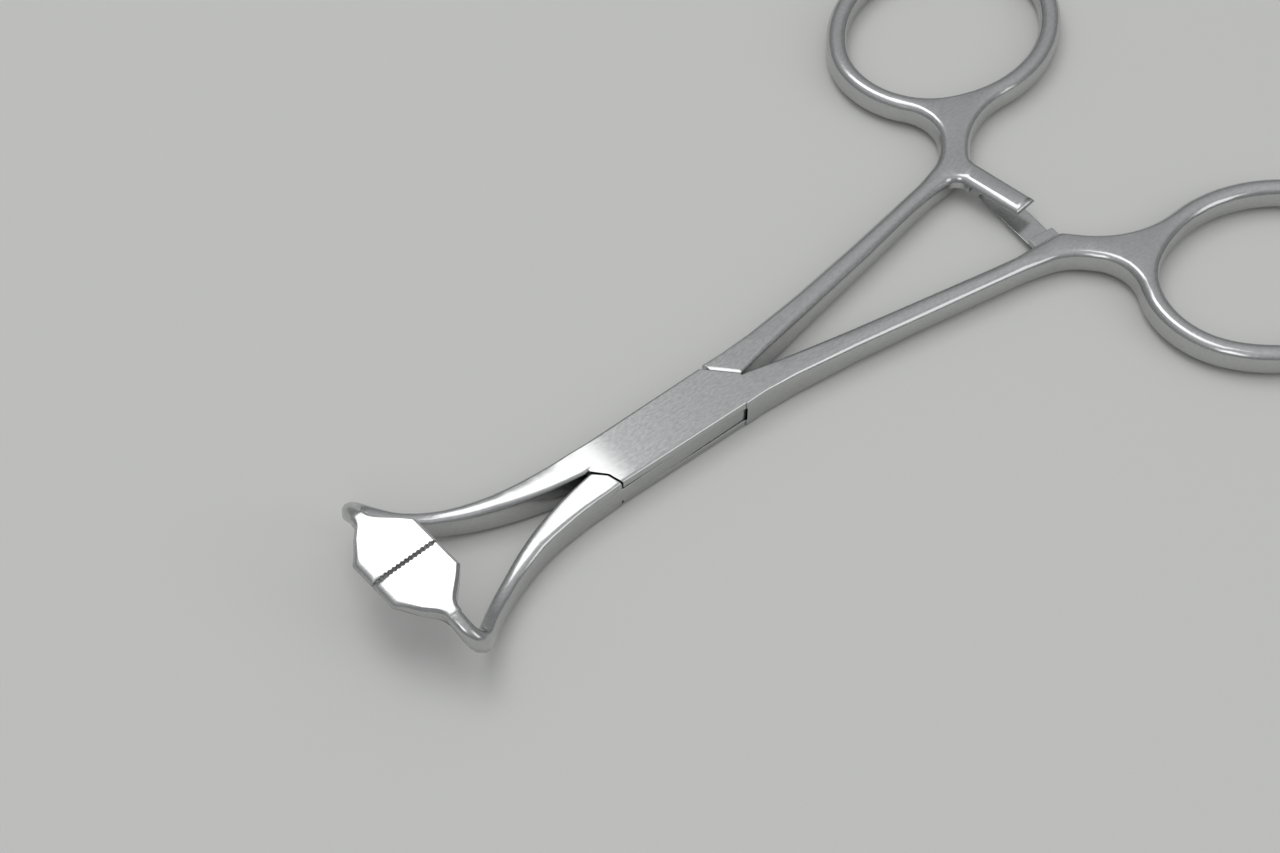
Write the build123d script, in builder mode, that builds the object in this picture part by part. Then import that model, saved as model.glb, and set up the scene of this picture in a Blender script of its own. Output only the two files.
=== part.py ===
"""Non-perforating towel forceps: a box lock, two ring handles, a ratchet and two flat serrated jaws.

Millimetres, +Z up. The origin is on the axis of the lock pin, on the underside of the box lock.
+X runs to the jaws. The forceps lie flat and closed. box_half carries the slotted box, the jaw on
the -Y side and the ring on the +Y side. through_half passes through the box and carries the others.
"""
import os
from itertools import pairwise
from math import atan2, cos, degrees, radians, sin, sqrt

from build123d import *

os.makedirs("parts", exist_ok=True)

# Box lock
box_thickness = 4.2          # whole height of the box lock and of the forging beside it
box_front_half_width = 3.6   # half width of the box at its jaw end
box_back_half_width = 3.85   # half width of the box at its ring end
box_edge_radius = 0.45
front_seam_x = 11.8          # where the two jaw arms part, on the centre line
front_seam_radius = 10.5     # the rest of that seam, an arc about the pin
front_arc_start = 9.5        # degrees, where the arc starts
front_arc_end = 35.0         # degrees, past the side of the box
back_seam_x = 10.9           # where the two shanks part, behind the pin
back_seam_side_x = 7.4       # the same seam at the side of the box
slot_front_side_x = 6.9      # where the slot's closed end meets the side of the box, jaw side
slot_back_side_x = 8.65      # the same at the ring side
slot_height = 2.1
slot_fit = 0.05              # running clearance above and below the waist
wall_fit = 0.12              # clearance between the waist and the closed ends of the slot
front_seam_gap = 0.26        # open joint line on the jaw side
front_parting_gap = 0.5      # the same where the two jaw arms part
back_seam_gap = 0.10         # tight joint line on the ring side
shoulder_bevel = 0.45        # ground bevel along the shoulder at the ring side
waist_front_half_width = 3.75
waist_back_half_width = 3.6

# Lock pin
pin_diameter = 2.4
pin_fit = 0.04               # radial running clearance in the waist

# Jaw plates
plate_centre_x = 37.4
plate_length = 8.8           # along the gripping edge
plate_thickness = 1.7        # along its middle
plate_end_thickness = 0.6    # at both ends, the back is crowned
plate_top_height = 9.25      # top face at the plate's centre, above the underside of the box
plate_tilt = 3.8             # degrees, the free end lies lower
plate_back_side = 4.0        # straight side from the gripping edge, at the end towards the box
plate_front_side = 3.6       # the same at the free end
plate_neck_y = 8.7           # where the plate has narrowed to its neck
plate_neck_width = 1.8
plate_corner_radius = 0.5
plate_flank_bevel = 0.35
jaw_gap = 0.3                # between the crests of the two gripping faces at the first click
grip_tooth_pitch = 0.55
grip_tooth_depth = 0.18

# Jaw arms
ear_side = 11.35             # where an arm turns back to its plate, from the centre line
arm_steps = 3                # sections between one station of the arm and the next

# Shanks
shank_angle = 9.56           # degrees from the centre line when closed
shank_length = 56.3          # from the pin to where the handle turns out to its ring
shank_shoulder = 16.5        # from the pin, where the shank has narrowed from the box
shank_end_width = 2.55
handle_stretch = 10.3        # last stretch of the shank, made in one outline with the handle
flare_stretch = 6.3          # last stretch, over which the shank widens to the neck

# Neck and ring
handle_thickness = 3.6       # height of the shank's end, the ratchet and the ring
handle_edge_radius = 1.2
neck_width = 3.8
neck_reach = 25.82           # from the end of the shank to the middle of the ring
neck_angle = 48.88           # degrees from the centre line
neck_outer_radius = 8.0      # hollow between shank and neck
ring_outer_root_radius = 5.5 # hollow between neck and ring, outer side
ring_inner_root_radius = 14.0
root_limit = 1.8             # largest hollow, as a share of the neck between shank and ring
ring_turn = 14.5             # degrees, the ring's long axis turned outwards
ring_hole_half_length = 15.1
ring_hole_half_width = 11.9
ring_hole_end_radius = 10.0  # the oval hole is two such arcs and two flatter ones, all tangent
ring_wire = 2.64             # width of the ring's wire seen from above

# Ratchet
ratchet_setback = 0.5        # from the end of the shank back to the middle of the bar
ratchet_width = 3.6
ratchet_lean = 7.0           # degrees, each bar leans towards the rings as it runs inwards
box_bar_reach = 4.6          # past the centre line
through_bar_reach = 2.0
ratchet_corner_radius = 1.6  # hollows between bar and shank
ratchet_crest_gap = 0.10     # between the crests of the two bars
ratchet_pitch = 2.2
ratchet_tooth_height = 0.75
ratchet_tooth_land = 0.3
ratchet_tooth_count = 4

mid_height = box_thickness / 2
back_slope = (back_seam_x - back_seam_side_x) / box_back_half_width
handle_start = shank_length - handle_stretch
ratchet_distance = shank_length - ratchet_setback
# Edges are eased in three flats of equal width that touch the radius: one cut at 45 degrees,
# then one on each of its two edges. Both are shares of the radius.
first_flat = 2 - sqrt(2)
second_flat = (1 / cos(radians(22.5)) - 1) / cos(radians(67.5))


def on_shank(distance, sideways=0.0):
    """A plan position by the +Y shank: distance from the pin, and how far to its outer side."""
    turn = radians(shank_angle)
    x = -distance * cos(turn) + sideways * sin(turn)
    y = distance * sin(turn) + sideways * cos(turn)
    return Vector(x, y)


def ring_middle():
    """The middle of the +Y ring."""
    turn = radians(neck_angle)
    return on_shank(shank_length) + Vector(-cos(turn), sin(turn)) * neck_reach


def rounded_loft(stations):
    """A solid ruled through eased rectangles: point, direction, width, height, corner radius."""
    with BuildPart() as bar:
        for point, direction, width, height, corner in stations:
            ahead = Vector(direction).normalized()
            across = Vector(0, 0, 1).cross(ahead).normalized()
            with BuildSketch(Plane(origin=point, x_dir=across, z_dir=ahead)):
                Rectangle(width, height)
                chamfer(vertices(), corner * first_flat)
                chamfer(vertices(), corner * second_flat)
        loft(ruled=True)
    return bar.part


def jaw_arm():
    """The +Y arm: leaves the box flat, flares out and up, and turns back at the ear to the plate."""
    reach = plate_centre_x - front_seam_x
    rise = plate_top_height - plate_thickness / 2 - mid_height
    profile = [
        # shares of the reach, side, share of the rise, width, height, corner radius
        (-0.148, 1.85, 0, 3.5, box_thickness, box_edge_radius),
        (0.008, 1.95, 0, 3.6, box_thickness, 0.5),
        (0.203, 2.50, 0, 3.1, box_thickness - 0.05, 0.7),
        (0.418, 3.75, 0, 2.4, box_thickness - 0.2, 0.9),
        (0.633, 6.00, 0.016, 1.9, 3.4, 0.85),
        (0.797, 8.45, 0.150, 1.8, 2.95, 0.8),
        (0.891, 10.40, 0.345, 1.9, 2.75, 0.85),
        (0.953, ear_side, 0.570, 1.95, 2.4, 0.9),
        (0.988, plate_neck_y + 1.7, 0.815, 1.8, 2.0, 0.85),
        (0.996, plate_neck_y + 0.35, 0.944, plate_neck_width, plate_thickness + 0.1, 0.8),
        (1, plate_neck_y - 0.9, 1, plate_neck_width, plate_thickness - 0.2, 0.6),
    ]
    stations = [(front_seam_x + reach * x, y, mid_height + rise * z, *size) for x, y, z, *size in profile]
    with BuildLine() as route:
        Spline([station[:3] for station in stations], tangents=[(1, 0, 0), (0, -1, 0)])
    line = route.line.edge()
    sections = []
    for here, ahead in pairwise(stations):
        start = line.param_at_point(here[:3])
        end = line.param_at_point(ahead[:3])
        for step in range(arm_steps):
            share = step / arm_steps
            place = start + (end - start) * share
            size = [a + (b - a) * share for a, b in zip(here[3:], ahead[3:])]
            sections.append((line @ place, line % place, *size))
    sections.append((line @ 1, line % 1, *stations[-1][3:]))
    return rounded_loft(sections)


def jaw_plate():
    """The +Y gripping plate: straight sides, hollow flanks down to the neck and a crowned back."""
    tilt = radians(plate_tilt)
    along = Vector(cos(tilt), 0, -sin(tilt))
    middle = Vector(plate_centre_x, 0, plate_top_height)
    top = Plane(origin=middle, x_dir=along, z_dir=(sin(tilt), 0, cos(tilt)))
    end_on = Plane(origin=middle, x_dir=along, z_dir=(0, -1, 0))
    half = plate_length / 2
    neck = plate_neck_width / 2
    grip_y = jaw_gap / 2
    hollow = Vector(half / 2, (plate_back_side + plate_neck_y) / 2)
    with BuildPart() as plate:
        with BuildSketch(top) as outline:
            with BuildLine():
                Polyline((-half, plate_back_side), (-half, grip_y), (half, grip_y), (half, plate_front_side))
                Spline(
                    (half, plate_front_side),
                    (hollow.X, hollow.Y),
                    (neck, plate_neck_y),
                    tangents=[(-1, 0.8), (0, 1)],
                )
                Line((neck, plate_neck_y), (-neck, plate_neck_y))
                Spline(
                    (-neck, plate_neck_y),
                    (-hollow.X, hollow.Y),
                    (-half, plate_back_side),
                    tangents=[(0, -1), (-0.8, -1)],
                )
            make_face()
            corners = outline.vertices().filter_by(lambda v: v.Y in (plate_back_side, plate_front_side))
            fillet(corners, plate_corner_radius)
        extrude(amount=-plate_thickness)
        flanks = plate.edges().filter_by(GeomType.BSPLINE).sort_by(Axis.Z)[-2:]
        chamfer(flanks, plate_flank_bevel)
        with BuildSketch(end_on):
            with BuildLine():
                Polyline((-half, -plate_end_thickness), (-half, 0), (half, 0), (half, -plate_end_thickness))
                ThreePointArc(
                    (half, -plate_end_thickness),
                    (0, -plate_thickness),
                    (-half, -plate_end_thickness),
                )
            make_face()
        extrude(amount=plate_neck_y, both=True, mode=Mode.INTERSECT)
        with BuildSketch(top):
            tooth_count = int((plate_length - grip_tooth_pitch) / grip_tooth_pitch)
            with Locations((0, grip_y)):
                with GridLocations(grip_tooth_pitch, 0, tooth_count, 1):
                    Polygon(
                        (-grip_tooth_pitch / 2, 0),
                        (grip_tooth_pitch / 2, 0),
                        (0, grip_tooth_depth),
                        align=None,
                    )
        extrude(amount=-2 * plate_thickness, mode=Mode.SUBTRACT)
    return plate.part


def jaw():
    """Arm and plate of the +Y jaw, one forging."""
    with BuildPart() as whole:
        add(jaw_arm())
        add(jaw_plate())
    return whole.part


def shank():
    """The +Y shank: a straight taper from the box to where the handle begins."""
    run = handle_start - shank_shoulder
    sections = [
        # distance from the pin, sideways, width, height, corner radius
        (back_seam_x - 1.9, 0.35, 4.3, box_thickness, box_edge_radius),
        (back_seam_x + 0.9, 0.12, 3.75, box_thickness, box_edge_radius),
        (shank_shoulder, 0.0, 3.2, box_thickness - 0.1, 0.75),
        (shank_shoulder + 0.29 * run, -0.1, 2.9, 3.7, 1.05),
        (shank_shoulder + 0.66 * run, -0.1, 2.7, handle_thickness - 0.05, 1.15),
        (handle_start, 0.0, shank_end_width, handle_thickness, handle_edge_radius),
    ]
    ahead = on_shank(1.0)
    stations = []
    for distance, sideways, width, height, corner in sections:
        point = on_shank(distance, sideways) + Vector(0, 0, mid_height)
        stations.append((point, ahead, width, height, corner))
    return rounded_loft(stations)


def capsule(start, end, start_radius, end_radius):
    """The hull of two discs."""
    with BuildSketch() as discs:
        with Locations(start):
            Circle(start_radius)
        with Locations(end):
            Circle(end_radius)
    with BuildSketch() as hull:
        make_hull(discs.sketch.edges())
    return hull.sketch


def ring_disc(wall):
    """The finger hole grown by a wall: an oval of two end arcs and two flatter side arcs."""
    turn = radians(ring_turn)
    end_centre = ring_hole_half_length - ring_hole_end_radius
    rise = ring_hole_half_width - ring_hole_end_radius
    side_centre = (end_centre**2 - rise**2) / (2 * rise)
    side_radius = ring_hole_half_width + side_centre + wall
    meet = degrees(atan2(side_centre, end_centre))
    along = Plane(origin=ring_middle(), x_dir=(cos(turn), -sin(turn), 0), z_dir=(0, 0, 1))
    with BuildSketch(along) as disc:
        with BuildLine():
            for half, sign in ((0, 1), (180, -1)):
                CenterArc((sign * end_centre, 0), ring_hole_end_radius + wall, half - meet, 2 * meet)
                CenterArc((0, -sign * side_centre), side_radius, half + meet, 180 - 2 * meet)
        make_face()
    return disc.sketch


def handle_outline(bar_reach=None):
    """Shank end, neck and ring of the +Y handle from above, and the ratchet bar if it has a reach."""
    half_end = shank_end_width / 2
    flare = shank_length - flare_stretch
    bend = on_shank(shank_length)
    to_ring = (ring_middle() - bend).normalized()
    outwards = Vector(to_ring.Y, -to_ring.X)
    ring_edge = ring_middle() - to_ring * (ring_hole_half_length + ring_wire)
    crook = neck_width / 2 / cos(radians(neck_angle - shank_angle) / 2)
    largest_root = root_limit * (neck_reach - ring_hole_half_length - ring_wire)
    root = on_shank(ratchet_distance)
    lean = radians(ratchet_lean)
    inwards = Vector(-sin(lean), -cos(lean))
    forwards = Vector(cos(lean), -sin(lean)) * (ratchet_width / 2)
    with BuildSketch() as outline:
        with BuildLine():
            Polyline(
                on_shank(handle_start, -half_end),
                on_shank(handle_start, half_end),
                on_shank(flare, half_end),
                on_shank(flare, -half_end),
                close=True,
            )
        make_face()
        add(capsule(on_shank(flare), bend, half_end, neck_width / 2))
        add(capsule(bend, ring_middle(), neck_width / 2, neck_width / 2))
        add(ring_disc(ring_wire))
        corner = bend + (outwards + on_shank(0, 1)).normalized() * crook
        fillet(outline.vertices().sort_by_distance(corner)[0], neck_outer_radius)
        for side, radius in ((1, ring_outer_root_radius), (-1, ring_inner_root_radius)):
            corner = ring_edge + outwards * side * neck_width / 2
            # A larger hollow than this would run into the ratchet bar
            fillet(outline.vertices().sort_by_distance(corner)[0], min(radius, largest_root))
        if bar_reach is not None:
            tip = root + inwards * ((root.Y + bar_reach) / cos(lean))
            with BuildLine():
                Polyline(root - forwards, root + forwards, tip + forwards, tip - forwards, close=True)
            make_face()
            for side in (1, -1):
                corner = root + forwards * side + inwards * half_end
                fillet(outline.vertices().sort_by_distance(corner)[0], ratchet_corner_radius)
        add(ring_disc(0), mode=Mode.SUBTRACT)
    return outline.sketch


def level_edges(solid, heights, apart_from):
    """The edges that lie at one of the heights, apart from one centred over a point."""
    found = []
    for edge in solid.edges():
        middle = edge.center()
        away = (Vector(middle.X, middle.Y) - apart_from).length > 0.01
        if away and any(abs((edge @ 0).Z - z) + abs((edge @ 1).Z - z) < 0.001 for z in heights):
            found.append(edge)
    return found


def handle_layer(upwards, bar_reach=None):
    """The upper or lower half of the +Y handle, its outer edges eased in three flats."""
    side = 1 if upwards else -1
    cut_end = on_shank(handle_start)
    face = mid_height + side * handle_thickness / 2
    below = face - side * handle_edge_radius * first_flat
    with BuildPart() as layer:
        with BuildSketch(Plane.XY.offset(mid_height)):
            add(handle_outline(bar_reach))
        extrude(amount=side * handle_thickness / 2)
        for heights, cut in (((face,), first_flat), ((face, below), second_flat)):
            chamfer(level_edges(layer, heights, cut_end), handle_edge_radius * cut)
    return layer.part


def handle(bar_reach):
    """The +Y handle: neck, ring and a low ratchet bar with its teeth upwards."""
    lean = radians(ratchet_lean)
    root = on_shank(ratchet_distance)
    inwards = Vector(-sin(lean), -cos(lean))
    bar_length = (root.Y + bar_reach) / cos(lean)
    tip = root + inwards * bar_length + Vector(0, 0, mid_height)
    # The profile's x runs from the tip back to the shank, its y is up
    profile = Plane(origin=tip, x_dir=inwards * -1, z_dir=Vector(cos(lean), -sin(lean)) * -1)
    crest = -ratchet_crest_gap / 2
    gullet = crest - ratchet_tooth_height
    ramp = ratchet_pitch - ratchet_tooth_land
    with BuildPart() as whole:
        add(handle_layer(True))
        add(handle_layer(False, bar_reach))
        with BuildSketch(profile):
            with BuildLine():
                Polyline(
                    (-1, 1),
                    (-1, crest),
                    (bar_length - neck_width / 2, crest),
                    (bar_length - neck_width / 2, 0),
                    (bar_length - neck_width, 0),
                    (bar_length - neck_width, 1),
                    close=True,
                )
            make_face()
            for tooth in range(ratchet_tooth_count):
                start = tooth * ratchet_pitch
                with BuildLine():
                    Polyline(
                        (start, 0),
                        (start, gullet),
                        (start + ramp, crest),
                        (start + ramp, 0),
                        close=True,
                    )
                make_face()
        extrude(amount=ratchet_width, both=True, mode=Mode.SUBTRACT)
    return whole.part


def between_seams(parting_gap, front_gap, back_gap):
    """Everything from the jaw-side joint line to the ring-side one, well past both sides."""
    beyond = 2 * box_back_half_width
    radius = front_seam_radius + front_gap
    parting = Vector(front_seam_x + parting_gap, 0)
    arc_start = Vector(radius, 0).rotate(Axis.Z, front_arc_start)
    arc_end = Vector(radius, 0).rotate(Axis.Z, front_arc_end)
    back = -back_seam_x - back_gap
    with BuildSketch() as zone:
        with BuildLine():
            Polyline((parting.X, -beyond), parting, arc_start)
            RadiusArc(arc_start, arc_end, -radius)
            Polyline(arc_end, (arc_end.X, beyond), (back, beyond), (back, 0))
            Polyline((back, 0), (back + back_slope * beyond, -beyond), (parting.X, -beyond))
        make_face()
    return zone.sketch


def box_sides(front_half, back_half):
    """A band along the box, from the front half width to the back half width."""
    with BuildSketch() as band:
        with BuildLine():
            Polyline(
                (2 * front_seam_x, front_half + (front_half - back_half) * 0.5),
                (2 * front_seam_x, -front_half - (front_half - back_half) * 0.5),
                (-2 * back_seam_x, -back_half + (front_half - back_half) * 0.5),
                (-2 * back_seam_x, back_half - (front_half - back_half) * 0.5),
                close=True,
            )
        make_face()
    return band.sketch


def slot_outline():
    """The slot from above: closed by a slanting wall at each end, open at both sides."""
    front_run = (front_seam_x - slot_front_side_x) / box_front_half_width
    back_run = (back_seam_x - slot_back_side_x) / box_back_half_width
    beyond = 2 * box_back_half_width
    with BuildSketch() as slot:
        with BuildLine():
            Polyline(
                (front_seam_x, 0),
                (front_seam_x - front_run * beyond, -beyond),
                (-back_seam_x - back_run * beyond, -beyond),
                (-back_seam_x, 0),
                (-back_seam_x + back_run * beyond, beyond),
                (front_seam_x + front_run * beyond, beyond),
                close=True,
            )
        make_face()
    return slot.sketch


def over_far_side(solid):
    """The same forging carried to the -Y side by half a turn about the middle of its height."""
    return solid.rotate(Axis((0, 0, mid_height), (1, 0, 0)), 180)


with BuildPart() as box_half:
    with BuildSketch():
        add(between_seams(0, 0, 0))
        add(box_sides(box_front_half_width, box_back_half_width), mode=Mode.INTERSECT)
    extrude(amount=box_thickness)
    far = 0.95 * box_front_half_width
    side_edges = box_half.edges().filter_by(Plane.XY).filter_by(lambda e: abs(e.center().Y) > far)
    fillet(side_edges, box_edge_radius)
    add(jaw().mirror(Plane.XZ))
    add(shank())
    add(handle(box_bar_reach))
    with BuildSketch(Plane.XY.offset(mid_height)):
        add(slot_outline())
    extrude(amount=slot_height / 2, both=True, mode=Mode.SUBTRACT)
    Hole(pin_diameter / 2)
box_half.part.label = "box_half"

with BuildPart() as through_half:
    add(jaw())
    add(over_far_side(shank()))
    add(over_far_side(handle(through_bar_reach)))
    with BuildSketch(Plane.XY.offset(mid_height)):
        add(between_seams(front_parting_gap, front_seam_gap, back_seam_gap))
    extrude(amount=box_thickness, both=True, mode=Mode.SUBTRACT)
    for height, down in ((box_thickness, 1), (0, -1)):
        seam_end = Vector(-back_seam_x - back_seam_gap, 0, height)
        with BuildSketch(Plane(origin=seam_end, x_dir=(-1, -back_slope, 0), z_dir=(back_slope, -1, 0))):
            with BuildLine():
                Polyline((0, 0), (shoulder_bevel, 0), (0, down * shoulder_bevel), close=True)
            make_face()
        extrude(amount=2 * box_back_half_width, both=True, mode=Mode.SUBTRACT)
    with BuildSketch(Plane.XY.offset(mid_height)):
        add(slot_outline())
        offset(amount=-wall_fit, mode=Mode.REPLACE)
        add(box_sides(waist_front_half_width, waist_back_half_width), mode=Mode.INTERSECT)
    extrude(amount=slot_height / 2 - slot_fit, both=True)
    Hole(pin_diameter / 2 + pin_fit)
through_half.part.label = "through_half"

with BuildPart() as lock_pin:
    Cylinder(pin_diameter / 2, box_thickness, align=(Align.CENTER, Align.CENTER, Align.MIN))
lock_pin.part.label = "lock_pin"

export_step(box_half.part, "parts/box_half.step")
export_step(through_half.part, "parts/through_half.step")
export_step(lock_pin.part, "parts/lock_pin.step")
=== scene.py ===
"""Looks of the towel forceps: satin steel forgings with polished gripping plates, on a pale floor.

Metres, +Z up. The forceps lie as modelled, with the jaws towards +X and the lock pin at the origin.
"""
from math import cos, radians, sin

import bpy
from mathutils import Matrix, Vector

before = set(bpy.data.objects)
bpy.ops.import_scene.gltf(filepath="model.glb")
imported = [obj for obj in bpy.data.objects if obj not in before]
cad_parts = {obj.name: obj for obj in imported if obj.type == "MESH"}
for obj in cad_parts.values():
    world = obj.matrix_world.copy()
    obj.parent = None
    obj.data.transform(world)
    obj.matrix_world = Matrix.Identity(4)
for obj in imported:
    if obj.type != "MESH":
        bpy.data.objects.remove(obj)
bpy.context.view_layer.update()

MM = 0.001

# Camera, fitted to the photograph
camera_target = Vector((2.1, -2.7, 2.1)) * MM
camera_distance = 299.7 * MM
camera_azimuth = 139.76        # degrees
camera_elevation = 50.1
camera_lens = 73.1             # for a sensor 36 wide
camera_sensor = 36.0
camera_near_clip = 10 * MM

# Satin steel
steel_dark = "#bdbebe"         # the grain's darker and lighter specks
steel_light = "#c6c6c5"
grain_size = 0.28 * MM         # drawn coarser than the real satin grain of about 0.03, so that it shows
grain_stretch = 2.5            # the grain runs along the tool
grain_depth = 0.0015 * MM
grain_detail = 2.0
grain_harshness = 0.5
cloud_size = 1.8 * MM          # patches where the finish is a little heavier
cloud_detail = 3.0
cloud_harshness = 0.55
noise_low = 0.3                # most of a noise lies between these two values
noise_high = 0.7
satin_roughness_low = 0.202    # from lighter to heavier patches
satin_roughness_high = 0.208
grain_roughness = 0.02         # the grain adds or takes away up to this much

# Shade painted into the colour of seams and tooth gullets, where ambient occlusion finds little open sky
painted_crevice_shade = "#3c3c3e"
painted_shade_reach = 0.5 * MM       # a crevice up to about this wide gets painted shade
painted_shade_darkest_sky = 0.15          # share of open sky at which it is darkest
painted_shade_clear_sky = 0.75            # and from which it isn't darkened

# Edges
crease_angle = 32              # degrees, edges sharper than this stay crisp
merge_distance = 0.0005 * MM
edge_softness = 0.12 * MM      # radius that tumbling leaves on every ground edge
ground_over_radius = 1.6 * MM  # the pin is ground flush with the box, so its seam doesn't show; it gets no painted shade and no softened edge
shading_samples = 8

# Hand finishing lets the tops of the arms fall off gently past the jaw-side seam
fall_slope = 0.05
fall_start_x = 6.5 * MM
fall_full_x = 11.5 * MM
fall_fade = 16 * MM            # it fades out again on a slant, sooner on the box half's arm
fall_end = 24 * MM

# Polished plates
plate_roughness_low = 0.11
plate_roughness_high = 0.15
plate_start_x = 31.5 * MM
plate_floor_z = 6.6 * MM
plate_polish_full = 6.6 * MM   # across the jaws, the polish fades out from here along the neck
plate_polish_end = 9.2 * MM
plate_neck_fade = 1.2 * MM     # past that, the roll-off fades out too
plate_softness = 0.8 * MM      # polishing rolls the plates off into their necks and at the free end
plate_end_x = 41.8 * MM
plate_end_roll = 2.8 * MM      # how far from its edge the free end starts to roll off
plate_end_slope = 0.19

# Floor
floor_size = 6.0
floor_colour = "#d7d7d4"
floor_roughness = 0.9

# Softboxes: a bright one high at one side that the plates and arms mirror, a quieter one overhead for
# the ridges, and small ones low at the near side and in front for the edges. Each has its aim, its
# direction from there, its distance, width and depth in metres, and its power in watts.
jaws = Vector((37, 0, 9)) * MM
lock = Vector((0, 0, 0))
softboxes = {
    "key_softbox": (jaws, (-0.151, -0.455, 0.877), 0.62, 0.29, 0.26, 0.49),
    "top_softbox": (jaws, (-0.025, -0.072, 0.997), 0.61, 0.29, 0.26, 0.30),
    "side_softbox": (lock, (-0.45, 0.75, 0.47), 0.60, 0.26, 0.26, 0.24),
    "front_softbox": (lock, (0.56, 0.50, 0.66), 0.60, 0.20, 0.20, 0.22),
}

# Dome, from low in the sky to overhead
dome_colour = "#f4f6f8"
dome_low_z = 0.3
dome_high_z = 1.0
dome_low_strength = 0.32
dome_high_strength = 0.72

# Every Map Range eases in and out
eased = {"interpolation_type": "SMOOTHSTEP"}


def linear(code):
    """A colour written as sRGB hex, as Blender's linear values."""
    parts = [int(code[i : i + 2], 16) / 255 for i in (1, 3, 5)]
    return (*[p / 12.92 if p <= 0.04045 else ((p + 0.055) / 1.055) ** 2.4 for p in parts], 1.0)


def add_node(tree, kind, inputs=(), **settings):
    """Adds a node with its settings. An input is a value, an output of another node to link, or
    another node, whose first output is linked."""
    made = tree.nodes.new(kind)
    for name, value in settings.items():
        setattr(made, name, value)
    for name, value in dict(inputs).items():
        if isinstance(value, bpy.types.Node):
            value = value.outputs[0]
        if isinstance(value, bpy.types.NodeSocket):
            tree.links.new(value, made.inputs[name])
        else:
            made.inputs[name].default_value = value
    return made


def new_material(name):
    """An empty node material and its tree."""
    material = bpy.data.materials.new(name)
    material.use_nodes = True
    material.node_tree.nodes.clear()
    return material, material.node_tree


def grain_and_clouds(tree, place):
    """The fine grain, drawn out along the tool, and the wider patches of the finish."""
    stretched = add_node(tree, "ShaderNodeMapping", {"Vector": place, "Scale": (1 / grain_stretch, 1, 1)})
    grain = add_node(
        tree,
        "ShaderNodeTexNoise",
        {
            "Vector": stretched,
            "Scale": 1 / grain_size,
            "Detail": grain_detail,
            "Roughness": grain_harshness,
        },
    )
    cloud = add_node(
        tree,
        "ShaderNodeTexNoise",
        {
            "Vector": place,
            "Scale": 1 / cloud_size,
            "Detail": cloud_detail,
            "Roughness": cloud_harshness,
        },
    )
    return grain.outputs["Fac"], cloud.outputs["Fac"]


def polished_plates(tree, axes):
    """How far a point is polished, and how far it rolls off at a plate's neck or free end."""
    along = axes.outputs["X"]
    past_start = add_node(tree, "ShaderNodeMath", {0: along, 1: plate_start_x}, operation="GREATER_THAN")
    above_floor = add_node(
        tree, "ShaderNodeMath", {0: axes.outputs["Z"], 1: plate_floor_z}, operation="GREATER_THAN"
    )
    on_plate = add_node(tree, "ShaderNodeMath", {0: past_start, 1: above_floor}, operation="MULTIPLY")

    across = add_node(tree, "ShaderNodeMath", {0: axes.outputs["Y"]}, operation="ABSOLUTE")
    before_neck = add_node(
        tree,
        "ShaderNodeMapRange",
        {"Value": across, "From Min": plate_polish_end, "From Max": plate_polish_full},
        **eased,
    )
    polish = add_node(tree, "ShaderNodeMath", {0: on_plate, 1: before_neck}, operation="MULTIPLY")

    into_neck = add_node(
        tree,
        "ShaderNodeMapRange",
        {"Value": across, "From Min": plate_polish_full, "From Max": plate_polish_end},
        **eased,
    )
    before_arm = add_node(
        tree,
        "ShaderNodeMapRange",
        {"Value": across, "From Min": plate_polish_end + plate_neck_fade, "From Max": plate_polish_end},
        **eased,
    )
    at_neck = add_node(tree, "ShaderNodeMath", {0: into_neck, 1: before_arm}, operation="MULTIPLY")
    at_free_end = add_node(
        tree,
        "ShaderNodeMapRange",
        {"Value": along, "From Min": plate_end_x - plate_end_roll, "From Max": plate_end_x},
        **eased,
    )
    at_rim = add_node(tree, "ShaderNodeMath", {0: at_neck, 1: at_free_end}, operation="MAXIMUM")
    rolled = add_node(tree, "ShaderNodeMath", {0: on_plate, 1: at_rim}, operation="MULTIPLY")
    return polish, rolled


def ground_over_pin(tree, place):
    """One over the pin and its seam, and nought elsewhere."""
    flat = add_node(tree, "ShaderNodeVectorMath", {0: place, 1: (1, 1, 0)}, operation="MULTIPLY")
    from_pin = add_node(tree, "ShaderNodeVectorMath", {0: flat}, operation="LENGTH")
    return add_node(
        tree, "ShaderNodeMath", {0: from_pin.outputs["Value"], 1: ground_over_radius}, operation="LESS_THAN"
    )


def steel_colour(tree, grain, over_pin):
    """Grey steel, speckled by its grain, with shade painted darker into its crevices. Sockets 6 and 7 are a
    mix's colours.
    """
    speckle = add_node(
        tree, "ShaderNodeMapRange", {"Value": grain, "From Min": noise_low, "From Max": noise_high}, **eased
    )
    speckled = add_node(
        tree,
        "ShaderNodeMix",
        {"Factor": speckle, 6: linear(steel_dark), 7: linear(steel_light)},
        data_type="RGBA",
    )
    # Painted shade: the colour darkens where ambient occlusion finds seams and gullets, but not over the pin
    sky = add_node(
        tree, "ShaderNodeAmbientOcclusion", {"Distance": painted_shade_reach}, samples=shading_samples
    )
    open_sky = add_node(tree, "ShaderNodeMath", {0: sky.outputs["AO"], 1: over_pin}, operation="MAXIMUM")
    lit = add_node(
        tree,
        "ShaderNodeMapRange",
        {"Value": open_sky, "From Min": painted_shade_darkest_sky, "From Max": painted_shade_clear_sky},
        **eased,
    )
    shaded_colour = add_node(
        tree,
        "ShaderNodeMix",
        {"Factor": lit, 6: linear(painted_crevice_shade), 7: speckled.outputs[2]},
        data_type="RGBA",
    )
    return shaded_colour.outputs[2]


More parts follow.
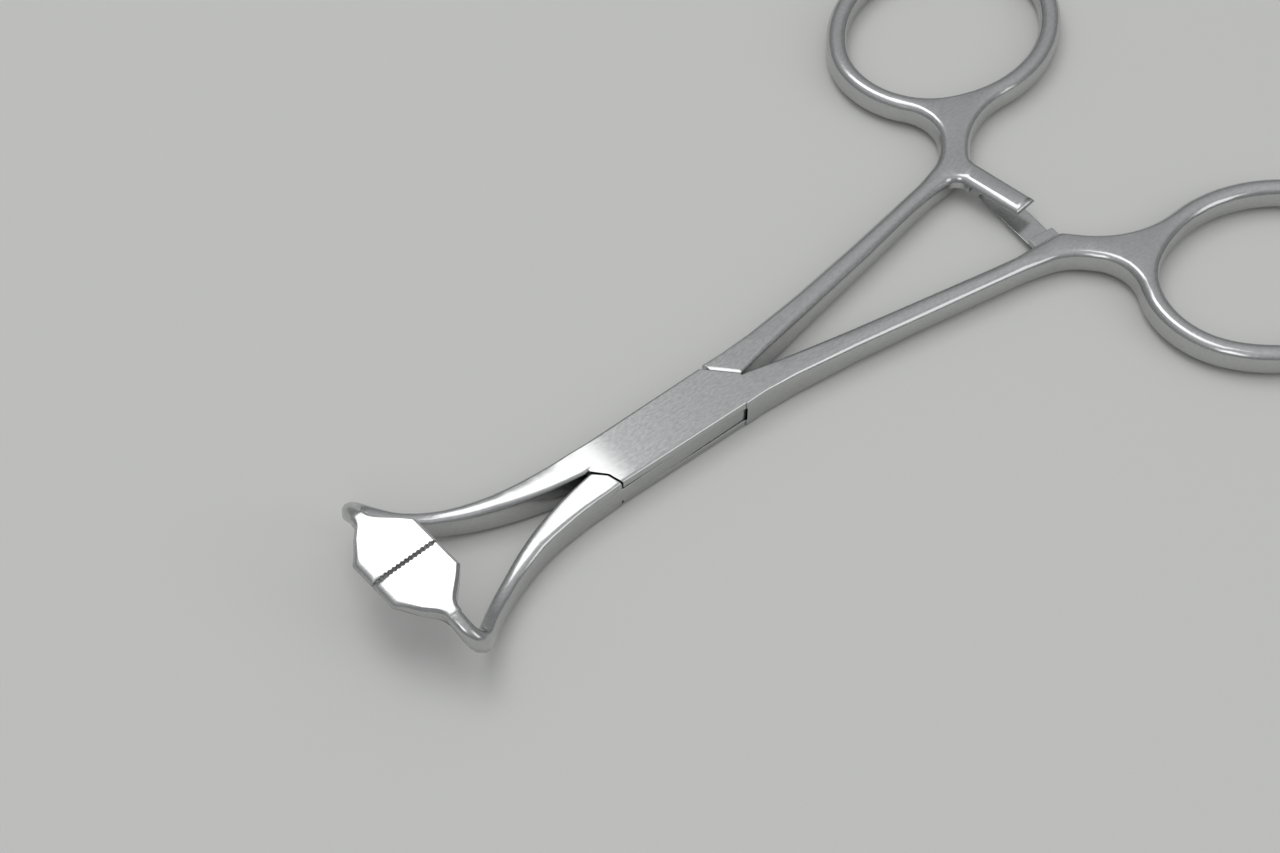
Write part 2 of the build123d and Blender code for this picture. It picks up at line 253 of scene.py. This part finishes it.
def steel_sheen(tree, grain, cloud, polish):
    """The satin's roughness, a little uneven, and the lower one of the polished plates."""
    patches = add_node(
        tree,
        "ShaderNodeMapRange",
        {
            "Value": cloud,
            "From Min": noise_low,
            "From Max": noise_high,
            "To Min": satin_roughness_low,
            "To Max": satin_roughness_high,
        },
        **eased,
    )
    specks = add_node(
        tree,
        "ShaderNodeMapRange",
        {
            "Value": grain,
            "From Min": noise_low,
            "From Max": noise_high,
            "To Min": -grain_roughness,
            "To Max": grain_roughness,
        },
        **eased,
    )
    satin = add_node(tree, "ShaderNodeMath", {0: patches, 1: specks}, operation="ADD")
    mirror = add_node(
        tree,
        "ShaderNodeMapRange",
        {
            "Value": cloud,
            "From Min": noise_low,
            "From Max": noise_high,
            "To Min": plate_roughness_low,
            "To Max": plate_roughness_high,
        },
        **eased,
    )
    return add_node(tree, "ShaderNodeMix", {"Factor": polish, "A": satin, "B": mirror})


def hand_finished_lean(tree, axes):
    """The slight lean towards the jaws of the arms' tops and of the plates' free ends."""
    along = axes.outputs["X"]
    growing = add_node(
        tree,
        "ShaderNodeMapRange",
        {"Value": along, "From Min": fall_start_x, "From Max": fall_full_x, "To Max": fall_slope},
        **eased,
    )
    slant = add_node(tree, "ShaderNodeMath", {0: along, 1: axes.outputs["Y"]}, operation="SUBTRACT")
    fading = add_node(
        tree, "ShaderNodeMapRange", {"Value": slant, "From Min": fall_end, "From Max": fall_fade}, **eased
    )
    fall = add_node(tree, "ShaderNodeMath", {0: growing, 1: fading}, operation="MULTIPLY")
    end_roll = add_node(
        tree,
        "ShaderNodeMapRange",
        {
            "Value": along,
            "From Min": plate_end_x - plate_end_roll,
            "From Max": plate_end_x,
            "To Max": plate_end_slope,
        },
        **eased,
    )
    slope = add_node(tree, "ShaderNodeMath", {0: fall, 1: end_roll}, operation="ADD")
    lean = add_node(tree, "ShaderNodeCombineXYZ", {"X": slope})
    return add_node(
        tree, "ShaderNodeVectorTransform", {"Vector": lean}, convert_from="OBJECT", convert_to="WORLD"
    )


def steel_relief(tree, axes, grain, rolled, over_pin):
    """Softened edges, the lean of the tops, and the grain's faint depth."""
    off_pin = add_node(tree, "ShaderNodeMath", {0: 1.0, 1: over_pin}, operation="SUBTRACT")
    softness = add_node(tree, "ShaderNodeMath", {0: off_pin, 1: edge_softness}, operation="MULTIPLY")
    radius = add_node(tree, "ShaderNodeMix", {"Factor": rolled, "A": softness, "B": plate_softness})
    soft_edge = add_node(tree, "ShaderNodeBevel", {"Radius": radius}, samples=shading_samples)
    lean = hand_finished_lean(tree, axes)
    leaning = add_node(tree, "ShaderNodeVectorMath", {0: soft_edge, 1: lean}, operation="ADD")
    facing = add_node(tree, "ShaderNodeVectorMath", {0: leaning}, operation="NORMALIZE")
    return add_node(
        tree, "ShaderNodeBump", {"Height": grain, "Distance": grain_depth, "Strength": 1.0, "Normal": facing}
    )


def satin_steel():
    """Martensitic stainless steel, forged, ground and satin finished: a soft grey sheen with a fine grain,
    with shade painted into the colour where seams and teeth hold back the light. The flat gripping plates
    are polished and mirror the light."""
    material, tree = new_material("satin_stainless_steel")
    place = add_node(tree, "ShaderNodeTexCoord").outputs["Object"]
    axes = add_node(tree, "ShaderNodeSeparateXYZ", {0: place})
    grain, cloud = grain_and_clouds(tree, place)
    polish, rolled = polished_plates(tree, axes)
    over_pin = ground_over_pin(tree, place)
    shader = add_node(
        tree,
        "ShaderNodeBsdfPrincipled",
        {
            "Base Color": steel_colour(tree, grain, over_pin),
            "Metallic": 1.0,
            "Roughness": steel_sheen(tree, grain, cloud, polish),
            "Normal": steel_relief(tree, axes, grain, rolled, over_pin),
        },
    )
    add_node(tree, "ShaderNodeOutputMaterial", {"Surface": shader})
    return material


def smoothing_tree():
    """Joins a forging's triangles and shades its curved faces smooth, with its edges kept crisp."""
    tree = bpy.data.node_groups.new("smooth_forging", "GeometryNodeTree")
    tree.interface.new_socket("Geometry", in_out="INPUT", socket_type="NodeSocketGeometry")
    tree.interface.new_socket("Geometry", in_out="OUTPUT", socket_type="NodeSocketGeometry")
    settings = {"Merge Distance": merge_distance, "Crease Angle": radians(crease_angle)}
    for name, value in settings.items():
        setting = tree.interface.new_socket(name, in_out="INPUT", socket_type="NodeSocketFloat")
        setting.default_value = value
    start = add_node(tree, "NodeGroupInput")
    joined = add_node(
        tree,
        "GeometryNodeMergeByDistance",
        {"Geometry": start.outputs["Geometry"], "Distance": start.outputs["Merge Distance"]},
    )
    faces = add_node(
        tree, "GeometryNodeSetShadeSmooth", {"Geometry": joined, "Shade Smooth": True}, domain="FACE"
    )
    angle = add_node(tree, "GeometryNodeInputMeshEdgeAngle").outputs["Unsigned Angle"]
    curved = add_node(
        tree, "FunctionNodeCompare", {"A": angle, "B": start.outputs["Crease Angle"]}, operation="LESS_THAN"
    )
    edges = add_node(
        tree, "GeometryNodeSetShadeSmooth", {"Geometry": faces, "Shade Smooth": curved}, domain="EDGE"
    )
    add_node(tree, "NodeGroupOutput", {0: edges})
    return tree


def dress_forging(name, material, smoothing):
    """Gives a forging its finish and its smooth shading."""
    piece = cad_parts[name]
    piece.data.materials.clear()
    piece.data.materials.append(material)
    piece.modifiers.new("smooth", "NODES").node_group = smoothing
    piece.modifiers.new("weighted", "WEIGHTED_NORMAL").keep_sharp = True


def floor():
    """A plain pale floor, matt."""
    material, tree = new_material("floor_paper")
    shader = add_node(
        tree, "ShaderNodeBsdfPrincipled", {"Base Color": linear(floor_colour), "Roughness": floor_roughness}
    )
    add_node(tree, "ShaderNodeOutputMaterial", {"Surface": shader})
    bpy.ops.mesh.primitive_plane_add(size=floor_size, location=(0, 0, 0))
    plane = bpy.context.object
    plane.name = "floor"
    plane.data.materials.append(material)


def softbox(name, aim, direction, distance, width, depth, power):
    """A soft rectangular studio light that stands in a direction from its aim and points at it."""
    light = bpy.data.lights.new(name, "AREA")
    light.shape = "RECTANGLE"
    light.size = width
    light.size_y = depth
    light.energy = power
    holder = bpy.data.objects.new(name, light)
    bpy.context.scene.collection.objects.link(holder)
    holder.location = aim + Vector(direction).normalized() * distance
    holder.rotation_euler = (aim - holder.location).to_track_quat("-Z", "Y").to_euler()


def dome():
    """A pale light from all round, dimmer towards the horizon."""
    world = bpy.data.worlds.new("dome")
    world.use_nodes = True
    tree = world.node_tree
    tree.nodes.clear()
    place = add_node(tree, "ShaderNodeTexCoord").outputs["Generated"]
    axes = add_node(tree, "ShaderNodeSeparateXYZ", {0: place})
    glow = add_node(
        tree,
        "ShaderNodeMapRange",
        {
            "Value": axes.outputs["Z"],
            "From Min": dome_low_z,
            "From Max": dome_high_z,
            "To Min": dome_low_strength,
            "To Max": dome_high_strength,
        },
        **eased,
    )
    sky = add_node(tree, "ShaderNodeBackground", {"Color": linear(dome_colour), "Strength": glow})
    add_node(tree, "ShaderNodeOutputWorld", {"Surface": sky})
    bpy.context.scene.world = world


def camera():
    """The photograph's viewpoint."""
    turn = radians(camera_azimuth)
    rise = radians(camera_elevation)
    back = Vector((sin(turn) * cos(rise), -cos(turn) * cos(rise), sin(rise)))
    lens = bpy.data.cameras.new("camera")
    lens.lens = camera_lens
    lens.sensor_width = camera_sensor
    lens.clip_start = camera_near_clip
    holder = bpy.data.objects.new("camera", lens)
    bpy.context.scene.collection.objects.link(holder)
    holder.location = camera_target + back * camera_distance
    holder.rotation_euler = (-back).to_track_quat("-Z", "Y").to_euler()
    bpy.context.scene.camera = holder


steel = satin_steel()
smoothing = smoothing_tree()
for node_name in ("box_half", "through_half", "lock_pin"):
    dress_forging(node_name, steel, smoothing)
floor()
for light_name, placing in softboxes.items():
    softbox(light_name, *placing)
dome()
camera()
bpy.context.scene.view_settings.view_transform = "Standard"
